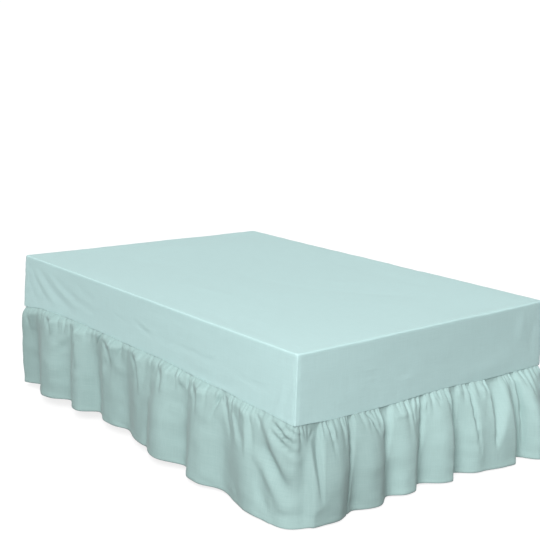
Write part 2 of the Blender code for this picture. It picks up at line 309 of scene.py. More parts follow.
cord_turns = np.linspace(-math.pi / 2, math.pi / 2, 7)
for inward, rise in UNDERSIDE_ROUNDING:
    mattress_ring(inward, rise, False)
mattress_cord(cord_turns, LOWER_CORD_INWARD, False)
for rise in BORDER_RISES:
    mattress_ring(BORDER_INWARD, rise, False)
for drop in BORDER_DROPS:
    mattress_ring(BORDER_INWARD, drop, True)
mattress_cord(cord_turns[::-1], UPPER_CORD_INWARD, True)
for inward, drop in TOP_ROUNDING:
    mattress_ring(inward, drop, True)
faces = rings_to_faces(rings)
count = sum(len(ring) for ring in rings)
x, y, grid = grid_inside(count, MATTRESS_SIDE_STEPS)
tufting = TUFTING_DEPTH * np.sin(x * TUFTING_WAVE) ** 2 * np.sin(y * TUFTING_WAVE) ** 2
points.append(np.column_stack((x, y, top_height(x, y) - UNDER_THE_SHEET - tufting)))
faces += panel_faces(rings[-1], grid, MATTRESS_CORNER_STEPS)
count += grid.size
x, y, grid = grid_inside(count, MATTRESS_SIDE_STEPS)
points.append(np.column_stack((x, y, np.zeros(len(x)) + MATTRESS_UNDER)))
faces += [face[::-1] for face in panel_faces(rings[0], grid, MATTRESS_CORNER_STEPS)]
mattress = new_piece("sprung_mattress", np.concatenate(points), faces, ticking)
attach(mattress, "root")
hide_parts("mattress")

# ---- The fitted top -------------------------------------------------------------------------
# Plain-woven polyester and cotton sheeting: a top panel and four mattress-deep walls, seamed up
# the four corners and drawn tight. At the head the walls' edge is hemmed over an elastic; round
# the other three sides the frill is sewn to it.

CLOTH_THICKNESS = 0.0009
WALL_CLEARANCE = 0.0028  # of the cloth's middle, outside the mattress's side
TOP_EDGE_RADIUS = 0.007
CORNER_SHARPNESS = 0.62  # how far the seam draws the cloth into the true corner
SEAM_PROUD = 0.0014
SEAM_HALF_WIDTH = 0.0035
ROLL_HEIGHT = 0.004  # of the walls' lower edge, where it turns in to the frill's seam
ROLL_DEPTH = 0.0011
ROLL_ROWS = (0.0, 0.0012, 0.0026, ROLL_HEIGHT)
CHANNEL_ROWS = (0.008, 0.013, 0.018, 0.023)
ELASTIC_DEPTH = 0.022
ELASTIC_PUCKERS = 0.0017
CHANNEL_PROUD = 0.0006
STITCHING_DEPTH = 0.0006
STITCHING_RISE = 0.013
STITCHING_HALF_WIDTH = 0.003
PANEL_ROUNDING = 0.05  # how far in from its edge the top panel's creases reach full height
SHEET_COLOUR = (0.481, 0.672, 0.668)
SHEET_SHADE = (0.441, 0.628, 0.621)
SLUB_WIDTHS, SLUB_LENGTHS = 340, 11  # of the weave's thick and thin places, in each metre
SHEETING_THREAD = 0.0007
SHEETING_THREAD_HEIGHT = 0.00006

# The walls' lower edge: place, height, and how far it stands out from the wall's top.
WALL_EDGE = (
    (0.00, 0.392, 0.010),
    (0.18, 0.412, 0.008),
    (0.38, 0.415, 0.002),
    (1.05, 0.405, 0.000),
    (1.45, 0.385, 0.002),
    (1.70, 0.372, 0.003),
    (LEFT_CORNER, 0.361, 0.003),
    (2.10, 0.352, 0.003),
    (2.30, 0.350, 0.002),
    (2.66, 0.359, 0.001),
    (2.95, 0.352, 0.002),
    (RIGHT_CORNER, 0.355, 0.004),
    (3.70, 0.384, 0.002),
    (4.30, 0.402, 0.000),
    (4.85, 0.396, 0.004),
    (HEAD_RIGHT, 0.384, 0.006),
    (5.35, 0.3735, 0.000),
    (6.30, 0.3735, 0.000),
    (ROUND_THE_BED, 0.392, 0.010),
)

# Soft creases in the walls, from one end to the other: place and height of both ends, half
# width, and how far they stand out (in, where negative).
WALL_CREASES = (
    (0.03, 0.610, 0.235, 0.445, 0.016, -0.0022),
    (0.06, 0.600, 0.300, 0.440, 0.012, 0.0016),
    (0.11, 0.602, 0.432, 0.447, 0.016, -0.0024),
    (0.18, 0.600, 0.470, 0.470, 0.012, 0.0014),
    (0.24, 0.590, 0.600, 0.485, 0.014, -0.0016),
    (0.43, 0.595, 0.640, 0.527, 0.014, -0.0010),
    (0.02, 0.560, 0.120, 0.430, 0.012, -0.0018),
    (0.70, 0.530, 0.860, 0.499, 0.007, -0.0010),
    (0.88, 0.527, 1.020, 0.488, 0.006, -0.0021),
    (0.90, 0.538, 1.040, 0.500, 0.006, 0.0011),
    (1.05, 0.506, 1.160, 0.480, 0.007, -0.0010),
    (1.17, 0.497, 1.330, 0.490, 0.007, -0.0012),
    (1.30, 0.491, 1.460, 0.491, 0.008, -0.0016),
    (1.30, 0.501, 1.450, 0.502, 0.007, 0.0008),
    (1.53, 0.484, 1.770, 0.458, 0.008, -0.0011),
    (1.20, 0.440, 1.600, 0.420, 0.020, -0.0012),
    (1.785, 0.370, 1.840, 0.510, 0.010, 0.0024),
    (1.820, 0.368, 1.868, 0.470, 0.008, -0.0016),
    (2.225, 0.502, 2.300, 0.511, 0.006, 0.0013),
    (2.225, 0.492, 2.300, 0.500, 0.006, -0.0013),
    (2.240, 0.457, 2.305, 0.461, 0.006, -0.0015),
    (2.345, 0.457, 2.485, 0.468, 0.007, -0.0010),
    (2.400, 0.440, 2.560, 0.450, 0.012, 0.0008),
    (2.540, 0.488, 2.720, 0.458, 0.016, -0.0011),
    (2.150, 0.520, 2.152, 0.440, 0.007, -0.0007),
    (2.760, 0.400, 3.080, 0.430, 0.030, 0.0020),
    (3.120, 0.610, 3.128, 0.480, 0.026, 0.0034),
    (3.200, 0.560, 3.190, 0.400, 0.014, -0.0014),
    (3.300, 0.600, 3.480, 0.440, 0.014, -0.0018),
    (3.340, 0.610, 3.620, 0.470, 0.012, 0.0012),
    (3.820, 0.520, 4.080, 0.470, 0.012, -0.0014),
    (4.250, 0.480, 4.420, 0.500, 0.008, -0.0012),
    (4.300, 0.560, 4.560, 0.540, 0.014, 0.0010),
    (4.700, 0.430, 5.020, 0.590, 0.015, -0.0020),
    (4.820, 0.430, 5.090, 0.600, 0.012, 0.0015),
    (4.960, 0.430, 5.120, 0.570, 0.011, -0.0014),
    (5.230, 0.600, 5.420, 0.430, 0.014, -0.0018),
    (5.700, 0.470, 5.960, 0.440, 0.012, -0.0013),
    (6.220, 0.430, 6.440, 0.600, 0.015, -0.0019),
)

CREASE_BOW = 0.05  # how far a crease bows aside, as a share of its length
CREASE_WIDENING = 0.6  # from 0.7 of its half width at one end to 1.3 at the other

# Slight unevenness of the drawn cloth: how far it stands out, pitch, and chance seed.
WALL_UNEVENNESS = ((0.0009, (0.22, 0.09), 11), (0.0004, (0.05, 0.035), 12))
SEAM_UNEVENNESS = ((0.0007, (0.014, 0.016), 9),)
SEAM_PUCKERS = ((0.35, (1, 0.011), 5),)  # as a share of how far the seam stands out
SEAM_REACH = 0.05  # how far from the seam it draws the cloth uneven
EDGE_WOBBLE = ((0.0012, (0.16, 1), 21), (0.0007, (0.045, 1), 22))
TOP_UNEVENNESS = ((0.0016, (0.30, 0.42), 41), (0.0004, (0.06, 0.11), 42))

# Broad, hardly raised creases in the top panel: both ends, half width and height.
TOP_CREASES = (
    (-0.33, 0.62, -0.14, 0.40, 0.060, -0.0016),
    (-0.22, 0.45, -0.28, -0.57, 0.050, -0.0013),
    (-0.38, 0.09, -0.29, -0.28, 0.040, 0.0010),
    (-0.08, 0.19, 0.10, -0.43, 0.035, -0.0014),
    (0.05, -0.29, 0.34, -0.63, 0.030, -0.0012),
    (0.12, -0.10, 0.42, -0.40, 0.045, 0.0012),
    (0.20, 0.50, 0.36, 0.05, 0.050, -0.0014),
    (-0.50, -0.35, -0.46, -0.80, 0.040, 0.0010),
    (0.48, 0.10, 0.52, -0.62, 0.050, -0.0012),
    (-0.10, 0.80, 0.40, 0.72, 0.060, 0.0014),
)


def eased(table, place, column):
    """A table's column at these places: level at each row, and easing to the next."""
    rows = np.array(table)
    after = np.clip(np.searchsorted(rows[:, 0], place, side="right"), 1, len(rows) - 1)
    first, second = rows[after - 1], rows[after]
    share = np.clip((place - first[:, 0]) / (second[:, 0] - first[:, 0]), 0, 1)
    share = share * share * (3 - 2 * share)
    return first[:, column] + share * (second[:, column] - first[:, column])


def wander(x, y, pitch, seed):
    """A smooth random field from -1 to 1, with about one bump to each pitch (across, along)."""
    knots = np.random.default_rng(seed).uniform(-1, 1, (64, 64))
    x, y = x / pitch[0] + 500, y / pitch[1] + 500
    column, row = np.floor(x).astype(int), np.floor(y).astype(int)
    across, along = x - column, y - row
    across, along = across**2 * (3 - 2 * across), along**2 * (3 - 2 * along)
    near = knots[row % 64, column % 64] * (1 - across)
    near = near + knots[row % 64, (column + 1) % 64] * across
    far = knots[(row + 1) % 64, column % 64] * (1 - across)
    far = far + knots[(row + 1) % 64, (column + 1) % 64] * across
    return near * (1 - along) + far * along


def uneven(x, y, fields):
    """The sum of random fields, each with its height, pitch and chance seed."""
    return sum(height * wander(x, y, pitch, seed) for height, pitch, seed in fields)


def creased(x, y, creases):
    """How far straight soft creases raise a surface at these points."""
    raised = np.zeros(len(x))
    for x0, y0, x1, y1, half_width, height in creases:
        length = math.hypot(x1 - x0, y1 - y0)
        run = ((x - x0) * (x1 - x0) + (y - y0) * (y1 - y0)) / length**2
        bend = CREASE_BOW * length * np.sin(math.pi * np.clip(run, 0, 1))
        beside = ((x - x0) * (y1 - y0) - (y - y0) * (x1 - x0)) / length - bend
        taper = np.clip(1 - (2 * run - 1) ** 2, 0, None) ** 0.7
        widened = half_width * (0.7 + CREASE_WIDENING * np.clip(run, 0, 1))
        raised += height * taper * np.exp(-((beside / widened) ** 2))
    return raised


def from_corner(place):
    """Signed distance along the outline from the nearest corner of the bed."""
    corners = np.array((0.0, LEFT_CORNER, RIGHT_CORNER, HEAD_RIGHT, ROUND_THE_BED))
    apart = np.mod(place, ROUND_THE_BED)[:, None] - corners[None, :]
    return apart[np.arange(len(place)), np.abs(apart).argmin(axis=1)]


def wall_offset(place, height, share):
    """How far the wall's cloth stands outside the mattress's side."""
    offset = WALL_CLEARANCE + eased(WALL_EDGE, place, 2) * (1 - share)
    # The seam draws the cloth out of the mattress's rounded corner into a truer one.
    aside = from_corner(place)
    turn = np.clip(1 - np.abs(aside) / CORNER_RADIUS, 0, 1) * math.pi / 4
    offset = offset + CORNER_SHARPNESS * CORNER_RADIUS * (1 / np.cos(turn) - 1)
    puckers = 1 + uneven(place * 0, height, SEAM_PUCKERS)
    seam = SEAM_PROUD * puckers * np.exp(-((aside / SEAM_HALF_WIDTH) ** 2))
    drawn = uneven(aside, height, SEAM_UNEVENNESS) * np.exp(-((aside / SEAM_REACH) ** 2))
    soft = creased(place, height, WALL_CREASES) + uneven(place, height, WALL_UNEVENNESS)
    # Both fade out towards the top edge.
    offset = offset + np.clip((1 - share) * 12, 0, 1) * (seam + drawn)
    return offset + np.clip((1 - share) * 5, 0, 1) * soft


def on_the_elastic(place):
    """1 across the head, where the walls' edge has an elastic, and 0 where it has the frill."""
    beyond = np.minimum(place - HEAD_RIGHT, ROUND_THE_BED - place) / 0.03
    return np.clip(np.where(place > HEAD_RIGHT, beyond, 0), 0, 1)


def woven_sheeting(name, colour, shade):
    """The sheeting: a fine plain weave with slubs in warp and weft, from the cloth's own map."""
    made, tree, shader = new_finish(name, 0.78)
    shader.inputs["Sheen Weight"].default_value = 0.12
    shader.inputs["Sheen Roughness"].default_value = 0.45
    shader.inputs["Specular IOR Level"].default_value = 0.28
    where = add_node(tree, "ShaderNodeUVMap", uv_map="cloth").outputs[0]
    warp = mottled(tree, where, (SLUB_WIDTHS, SLUB_LENGTHS, 1), shade, colour, 0.30, 0.70)
    weft = mottled(tree, where, (SLUB_LENGTHS, SLUB_WIDTHS, 1), shade, colour, 0.30, 0.70)
    mixed = add_node(tree, "ShaderNodeMix", {"Factor": 0.5}, data_type="RGBA")
    tree.links.new(warp, mixed.inputs[6])
    tree.links.new(weft, mixed.inputs[7])
    tree.links.new(mixed.outputs[2], shader.inputs["Base Color"])
    raise_threads(tree, shader, where, "XY", SHEETING_THREAD, SHEETING_THREAD_HEIGHT)
    return made


sheeting = woven_sheeting("sheet_cloth", SHEET_COLOUR, SHEET_SHADE)

SHEET_SIDE_STEPS = (150, 108)
SHEET_CORNER_STEPS = 14
WALL_ROWS = 22
TOP_EDGE_ROWS = 6
PANEL_ON_CLOTH_MAP = 10  # keeps the panel's part of the map clear of the walls'
places = places_round(SHEET_SIDE_STEPS, SHEET_CORNER_STEPS)
points, rings, laid_out = [], [], []
low = eased(WALL_EDGE, places, 1)
elastic = on_the_elastic(places)
top_of_wall = top_height(*beside_bed(places, WALL_CLEARANCE).T) - TOP_EDGE_RADIUS
wobble = uneven(places, places * 0, EDGE_WOBBLE)


def sheet_ring(plan, height, down):
    """A ring of the sheet, and how far down the cloth it lies."""
    rings.append(len(points) * len(places) + np.arange(len(places)))
    points.append(np.column_stack((plan, height)))
    laid_out.append(np.column_stack((places, -down)))


heights = [low + rise for rise in ROLL_ROWS + CHANNEL_ROWS]
above_channel = low + CHANNEL_ROWS[-1]
for share in np.linspace(0, 1, WALL_ROWS)[1:]:
    heights.append(above_channel + (top_of_wall - above_channel) * share)
for height in heights:
    share = (height - low) / (top_of_wall - low)
    offset = wall_offset(places, height, share)
    rolled = np.clip(1 - (height - low) / ROLL_HEIGHT, 0, 1) ** 2
    offset = offset - ROLL_DEPTH * rolled * (1 - elastic)
    # The elastic's channel: puckered, and a stitched step above it.
    above = height - low
    channel = np.clip(1 - above / (1.5 * ELASTIC_DEPTH), 0, 1)
    puckers = ELASTIC_PUCKERS * wander(places, above, (0.013, 0.09), 31) * channel**0.5
    beside_stitches = (above - STITCHING_RISE) / STITCHING_HALF_WIDTH
    stitched = -STITCHING_DEPTH * np.exp(-(beside_stitches**2))
    offset = offset + elastic * (puckers + stitched + CHANNEL_PROUD * channel)
    sheet_ring(beside_bed(places, offset), height + wobble * np.clip(share, 0, 1), low - height)
edge_offset = wall_offset(places, top_of_wall, places * 0 + 1.0)
for row in range(1, TOP_EDGE_ROWS + 1):
    angle = math.pi / 2 * row / TOP_EDGE_ROWS
    inward = TOP_EDGE_RADIUS * (1 - math.cos(angle))
    at_corner = np.clip(1 - inward / TOP_EDGE_RADIUS, 0, 1)
    offset = WALL_CLEARANCE + (edge_offset - WALL_CLEARANCE) * at_corner - inward
    height = top_of_wall + TOP_EDGE_RADIUS * math.sin(angle)
    sheet_ring(beside_bed(places, offset), height + wobble, low - height - inward)
faces = rings_to_faces(rings)
count = sum(len(ring) for ring in rings)
x, y, grid = grid_inside(count, SHEET_SIDE_STEPS)
from_edge = np.minimum(MATTRESS_WIDTH / 2 - np.abs(x), MATTRESS_LENGTH / 2 - np.abs(y))
inside = np.clip((from_edge - CORNER_RADIUS) / PANEL_ROUNDING, 0, 1)
inside = inside * inside * (3 - 2 * inside)
raised = creased(x, y, TOP_CREASES) + uneven(x, y, TOP_UNEVENNESS)
points.append(np.column_stack((x, y, top_height(x, y) + inside * raised)))
laid_out.append(np.column_stack((x, y)) + PANEL_ON_CLOTH_MAP)
faces += panel_faces(rings[-1], grid, SHEET_CORNER_STEPS)
sheet = new_piece("fitted_sheet", np.concatenate(points), faces, sheeting)


def lay_cloth_map(piece, places_on_cloth):
    """The cloth's own map, in metres: along its width and down its length."""
    layer = piece.data.uv_layers.new(name="cloth")
    corners = np.empty(len(piece.data.loops), dtype=np.int32)
    piece.data.loops.foreach_get("vertex_index", corners)
    layer.data.foreach_set("uv", places_on_cloth[corners].astype(np.float32).ravel())


def give_thickness(piece, thickness):
    """Makes the cloth this thick, inwards from its outer face."""
    bpy.ops.object.select_all(action="DESELECT")
    piece.select_set(True)
    bpy.context.view_layer.objects.active = piece
    solid = piece.modifiers.new("Cloth thickness", "SOLIDIFY")
    solid.thickness = thickness
    solid.offset = -1.0
    solid.use_rim = True
    bpy.ops.object.modifier_apply(modifier=solid.name)


lay_cloth_map(sheet, np.concatenate(laid_out))
give_thickness(sheet, CLOTH_THICKNESS)
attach(sheet, "root")
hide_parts("fitted_top")

# ---- The frill ------------------------------------------------------------------------------
# One long strip of the same sheeting, gathered on its seam to the walls' lower edge along both
# long sides and the foot, with a narrow stitched hem just above the floor. Small gathers at the
# seam run together into broad, uneven folds.

FRILL_DROP = 0.367
HEM_CLEARANCE = 0.007
PUFF = 0.012  # how far the gathers hold the whole strip out
CREST_BREADTH = 1.45  # over 1, the crests are broad and the valleys narrow
SEAM_HIDDEN = 0.003  # how far the strip's top edge is up behind the walls' lower edge
HEM_DEPTH = 0.012
HEM_PROUD = 0.0005
FRILL_THICKNESS = 0.0008
SEAM_TURN_DROP = 0.010  # how far down the seam's turning lies behind the strip
SEAM_TURN_DEPTH = 0.0016
# Painted shade: the same sheeting as the top is given a darker colour here, because nothing close
# behind it throws light back through it.
FRILL_COLOUR_PAINTED_DARKER = (0.336, 0.470, 0.456)
FRILL_SHADE_PAINTED_DARKER = (0.288, 0.416, 0.402)
# Painted shade and light: between which two places the cloth's colour is made how many times as
# light.
FRILL_PAINTED_SHADE_AND_LIGHT = ((1.70, 1.90, 0.92), (2.14, 2.42, 1.28))
FRILL_COLUMNS = 800
FINE_TO_COARSE = 3  # columns near the seam for each one below
FINE_DROPS = (0.0, 0.003, 0.006, 0.009, 0.013, 0.017, 0.022, 0.027, 0.033, 0.040, 0.048, 0.057)
COARSE_DROPS = (0.067, 0.078, 0.090, 0.103, 0.117, 0.132, 0.148, 0.165, 0.182, 0.199, 0.216)
COARSE_DROPS += (0.233, 0.250, 0.267, 0.283, 0.298, 0.312, 0.325, 0.336, 0.345, 0.3525)
COARSE_DROPS += (0.3555, 0.3575, 0.3625, 0.367)

# The folds, one row for each crest and each valley: place, how far the hem stands out from the
# seam there, and how far it swings along the seam.
FOLDS = (
    (0.000, 0.010, -0.030),
    (0.109, -0.018, -0.000),
    (0.272, 0.059, 0.024),
    (0.411, 0.003, 0.009),
    (0.508, 0.049, 0.015),
    (0.608, -0.024, 0.012),
    (0.729, 0.017, 0.013),
    (0.853, -0.011, 0.004),
    (0.989, 0.032, 0.011),
    (1.056, 0.034, -0.006),
    (1.150, 0.078, 0.009),
    (1.276, 0.017, 0.019),
    (1.392, 0.070, 0.023),
    (1.514, 0.025, 0.042),
    (1.661, 0.072, 0.098),
    (1.755, 0.065, 0.082),
    (LEFT_CORNER, 0.060, -0.002),
    (1.989, 0.077, -0.054),
    (2.079, 0.087, -0.050),
    (2.153, 0.044, -0.014),
    (2.244, 0.077, -0.008),
    (2.329, 0.028, 0.004),
    (2.439, 0.061, -0.002),
    (2.525, 0.015, -0.004),
    (2.649, 0.071, 0.000),
    (2.703, 0.006, 0.005),
    (2.849, 0.072, -0.016),
    (2.982, 0.098, 0.010),
    (3.037, 0.038, 0.023),
    (3.125, 0.126, 0.023),
    (RIGHT_CORNER, 0.090, 0.000),
    (3.400, 0.078, -0.070),
    (3.500, 0.036, -0.050),
    (3.640, 0.074, -0.020),
    (3.780, 0.014, 0.000),
    (3.880, 0.056, 0.000),
    (3.970, 0.010, 0.000),
    (4.110, 0.062, 0.000),
    (4.240, 0.016, 0.000),
    (4.330, 0.042, 0.000),
    (4.420, 0.008, 0.000),
    (4.580, 0.066, 0.000),
    (4.700, 0.012, 0.000),
    (4.810, 0.048, 0.000),
    (4.920, 0.010, 0.000),
    (5.040, 0.050, 0.000),
    (HEAD_RIGHT, 0.014, 0.010),
)

# How the strip bulges below the seam: place, how far, at what drop it has done so, and how early
# a fold reaches its depth (late, where under 1: there the hem flares out at the bottom).
BULGE = (
    (0.00, 0.024, 0.045, 4.0),
    (0.20, 0.015, 0.022, 2.5),
    (0.50, 0.014, 0.022, 2.3),
    (0.78, 0.014, 0.022, 2.2),
    (1.00, 0.013, 0.020, 2.1),
    (1.37, 0.013, 0.022, 1.9),
    (1.60, 0.013, 0.024, 1.6),
    (1.76, 0.012, 0.030, 1.0),
    (1.93, 0.012, 0.035, 0.75),
    (2.00, 0.010, 0.040, 1.9),
    (2.16, 0.009, 0.040, 2.8),
    (3.10, 0.009, 0.045, 2.6),
    (RIGHT_CORNER, 0.012, 0.040, 0.9),
    (3.45, 0.012, 0.040, 1.4),
    (3.80, 0.015, 0.080, 3.2),
    (4.60, 0.017, 0.100, 4.0),
    (HEAD_RIGHT, 0.020, 0.055, 4.0),
)

# Pockets that the gathers pull in beside a crest's edge: place of the edge at the seam and at
# the pocket's lower end, its width there (towards the head on the left side if negative), how
# far down it runs, its depth, and at what share of the width it is deepest.
TUCKS = (
    (0.385, 0.370, -0.034, 0.070, 0.012, 0.50),
    (0.648, 0.598, 0.014, 0.085, 0.016, 0.35),
    (1.296, 1.284, -0.018, 0.075, 0.012, 0.50),
    (1.482, 1.440, 0.030, 0.130, 0.015, 0.35),
    (1.535, 1.572, -0.060, 0.190, 0.009, 0.55),
    (2.022, 2.008, -0.090, 0.290, 0.030, 0.16),
    (2.036, 2.074, 0.030, 0.130, 0.014, 0.20),
    (2.146, 2.120, 0.030, 0.420, 0.029, 0.16),
    (2.232, 2.285, 0.030, 0.120, 0.012, 0.20),
    (2.308, 2.302, 0.068, 0.340, 0.031, 0.12),
    (2.462, 2.470, 0.030, 0.120, 0.014, 0.20),
    (2.522, 2.500, 0.034, 0.380, 0.026, 0.14),
    (2.655, 2.690, 0.016, 0.220, 0.011, 0.30),
    (2.697, 2.688, 0.046, 0.360, 0.029, 0.14),
    (2.786, 2.832, 0.026, 0.320, 0.022, 0.25),
    (2.903, 2.900, 0.130, 0.280, 0.048, 0.10),
    (3.056, 3.060, 0.030, 0.420, 0.029, 0.16),
    (3.125, 3.160, 0.040, 0.180, 0.014, 0.20),
    (3.420, 3.440, 0.050, 0.180, 0.018, 0.25),
    (3.560, 3.540, -0.070, 0.190, 0.020, 0.40),
    (3.750, 3.750, 0.080, 0.090, 0.020, 0.50),
    (3.900, 3.920, -0.060, 0.130, 0.018, 0.50),
    (4.060, 4.040, 0.070, 0.090, 0.020, 0.50),
    (4.260, 4.250, -0.080, 0.120, 0.022, 0.50),
    (4.440, 4.450, 0.060, 0.110, 0.018, 0.50),
    (4.640, 4.620, -0.060, 0.140, 0.020, 0.50),
    (4.820, 4.830, 0.080, 0.090, 0.018, 0.50),
    (4.980, 4.970, -0.060, 0.110, 0.018, 0.50),
)

# Puffs on the long sides, which rise over their shaded side to an edge and fall away slowly
# beyond it: place of the edge at the seam and at the puff's lower end, widths of the shaded and
# of the far side (the shaded one lies towards the head where positive), how far down the puff
# runs, and how far it stands out.
PUFFS = (
    (0.075, 0.080, 0.050, 0.060, 0.100, 0.012),
    (0.280, 0.284, 0.105, 0.075, 0.085, 0.024),
    (0.486, 0.512, 0.085, 0.085, 0.180, 0.026),
    (0.750, 0.755, 0.110, 0.090, 0.115, 0.028),
    (0.950, 0.985, 0.085, 0.065, 0.165, 0.023),
    (1.152, 1.152, 0.085, 0.060, 0.110, 0.024),
    (1.222, 1.228, 0.014, 0.050, 0.085, 0.009),
    (1.376, 1.376, 0.090, 0.065, 0.115, 0.025),
    (1.652, 1.640, 0.120, 0.055, 0.180, 0.014),
    (3.600, 3.590, 0.080, 0.120, 0.130, 0.018),
    (3.830, 3.840, 0.070, 0.100, 0.100, 0.020),
    (4.050, 4.040, 0.080, 0.120, 0.140, 0.020),
    (4.290, 4.300, 0.060, 0.100, 0.120, 0.021),
    (4.510, 4.500, 0.080, 0.120, 0.100, 0.019),
    (4.730, 4.740, 0.070, 0.090, 0.140, 0.021),
    (4.930, 4.930, 0.070, 0.110, 0.110, 0.020),
)
PUFF_HOLLOW = 0.45  # depth of the hollow in a puff's shaded side, as a share of its height
POCKET_TIP = 0.005  # how wide a pocket ends
PUFF_TIP = 0.006  # how wide a puff's shaded side ends
SETTLED_DROP = 0.030  # below the seam, where puffs and creases have their full height
LEAST_ROOM = 0.0035  # how far the strip can always be drawn in

# Slanting creases and soft dents: place and drop of both ends, half width, and how far they
# stand out (in, where negative).
FRILL_CREASES = (
    (0.110, 0.004, 0.190, 0.012, 0.004, 0.0030),
    (0.410, 0.060, 0.300, 0.140, 0.014, 0.0050),
    (0.410, 0.095, 0.310, 0.165, 0.012, -0.0040),
    (0.540, 0.000, 0.545, 0.110, 0.018, 0.0050),
    (0.795, 0.060, 0.840, 0.004, 0.006, -0.0040),
    (0.770, 0.100, 0.840, 0.130, 0.016, 0.0040),
    (0.670, 0.070, 0.700, 0.200, 0.018, 0.0050),
    (0.580, 0.210, 0.640, 0.240, 0.008, -0.0020),
    (0.300, 0.260, 0.380, 0.215, 0.010, 0.0025),
    (1.020, 0.150, 1.120, 0.195, 0.014, 0.0030),
    (1.245, 0.010, 1.255, 0.055, 0.014, 0.0060),
    (1.410, 0.020, 1.415, 0.130, 0.022, 0.0050),
    (1.485, 0.045, 1.530, 0.020, 0.006, -0.0050),
    (1.495, 0.010, 1.510, 0.040, 0.005, 0.0040),
    (1.560, 0.050, 1.595, 0.160, 0.010, 0.0060),
    (1.660, 0.010, 1.680, 0.140, 0.010, -0.0040),
    (1.735, 0.020, 1.900, 0.200, 0.028, 0.0160),
    (1.745, 0.110, 1.920, 0.275, 0.024, -0.0150),
    (1.690, 0.150, 1.900, 0.310, 0.024, 0.0120),
    (1.700, 0.270, 1.820, 0.340, 0.020, -0.0060),
    (1.690, 0.010, 1.735, 0.060, 0.007, -0.0050),
    (1.790, 0.002, 1.905, 0.055, 0.008, 0.0080),
    (1.785, 0.018, 1.905, 0.072, 0.007, -0.0100),
    (1.795, 0.034, 1.915, 0.092, 0.007, 0.0085),
    (1.795, 0.050, 1.925, 0.110, 0.007, -0.0090),
    (1.800, 0.072, 1.925, 0.136, 0.009, 0.0060),
    (1.850, 0.002, 1.930, 0.034, 0.006, 0.0040),
    (1.850, 0.012, 1.930, 0.044, 0.005, -0.0040),
    (1.830, 0.335, 1.960, 0.325, 0.008, -0.0040),
    (1.950, 0.325, 2.040, 0.285, 0.012, 0.0030),
    (1.960, 0.060, 1.990, 0.030, 0.006, -0.0050),
    (2.060, 0.010, 2.066, 0.080, 0.008, 0.0060),
    (2.110, 0.010, 2.120, 0.100, 0.005, -0.0040),
    (2.300, 0.004, 2.300, 0.100, 0.008, 0.0060),
    (2.240, 0.020, 2.280, 0.060, 0.008, 0.0050),
    (2.370, 0.050, 2.470, 0.055, 0.010, 0.0040),
    (2.560, 0.030, 2.545, 0.090, 0.006, -0.0040),
    (2.600, 0.020, 2.620, 0.050, 0.006, -0.0040),
    (2.680, 0.000, 2.685, 0.140, 0.007, 0.0050),
    (2.750, 0.030, 2.780, 0.060, 0.005, -0.0030),
    (2.870, 0.010, 2.890, 0.070, 0.014, 0.0070),
    (2.840, 0.040, 2.870, 0.065, 0.005, -0.0040),
    (2.820, 0.100, 2.880, 0.180, 0.016, 0.0040),
    (3.045, 0.000, 3.048, 0.160, 0.012, 0.0050),
    (3.180, 0.010, 3.260, 0.240, 0.016, 0.0100),
    (3.150, 0.080, 3.230, 0.280, 0.016, -0.0090),
    (3.320, 0.010, 3.270, 0.200, 0.016, 0.0090),
    (3.390, 0.060, 3.310, 0.260, 0.016, -0.0090),
)
# Slight unevenness of the hanging cloth: how far it stands out, pitch, and chance seed.
LOOSE_AT_THE_HEM = ((0.0035, (0.055, 0.5), 51),)
LOOSE_BELOW_THE_SEAM = ((0.0030, (0.10, 0.12), 52),)
CRUMPLED = ((0.0018, (0.050, 0.030), 53),)
HEM_RIPPLE = ((0.0022, (0.13, 1), 54),)

# The line that the strip was once folded along, lengthwise, while it lay packed.
PACKED_FOLD_DROP = 0.198
PACKED_FOLD_REACH = 0.060
PACKED_FOLD_HEIGHT = 0.0034
PACKED_FOLD_UNEVENNESS = ((0.6, (0.09, 1), 55),)

# Two sizes of small gathers: chance seed, spacing, depth, how far down they run, and how much
# of their depth they have on the long sides.
GATHERS = (
    (17, (0.009, 0.021), (0.0018, 0.0042), (0.012, 0.030), 1.2),
    (29, (0.024, 0.058), (0.0050, 0.0130), (0.028, 0.110), 0.55),
)
FIRST_GATHER = 0.01
GATHER_SLANT = 0.22  # at most, aside for each step down
GATHER_WIDENING = 0.12  # aside for each step down
GATHER_WIDTHS = (0.22, 0.36)  # half widths, as shares of the least spacing


def hem_out(place):
    """How far the hem stands out: eased between the folds' rows, with broad crests."""
    rows = np.array(FOLDS)
    after = np.clip(np.searchsorted(rows[:, 0], place, side="right"), 1, len(rows) - 1)
    first, second = rows[after - 1], rows[after]
    share = np.clip((place - first[:, 0]) / (second[:, 0] - first[:, 0]), 0, 1)
    share = share * share * (3 - 2 * share)
    up = second[:, 1] > first[:, 1]
    share = np.where(up, 1 - (1 - share) ** CREST_BREADTH, share**CREST_BREADTH)
    return first[:, 1] + share * (second[:, 1] - first[:, 1])


def smoothed(values, width):
    """A running mean, twice over, with the ends carried on in a straight line."""
    for _ in range(2):
        step = (values[-1] - values[-2], values[1] - values[0])
        before = values[0] - step[1] * np.arange(width, 0, -1)
        after = values[-1] + step[0] * np.arange(1, width + 1)
        padded = np.concatenate((before, values, after))
        total = np.cumsum(np.concatenate(((0.0,), padded)))
        values = (total[2 * width + 1 :] - total[: -2 * width - 1]) / (2 * width + 1)
    return values


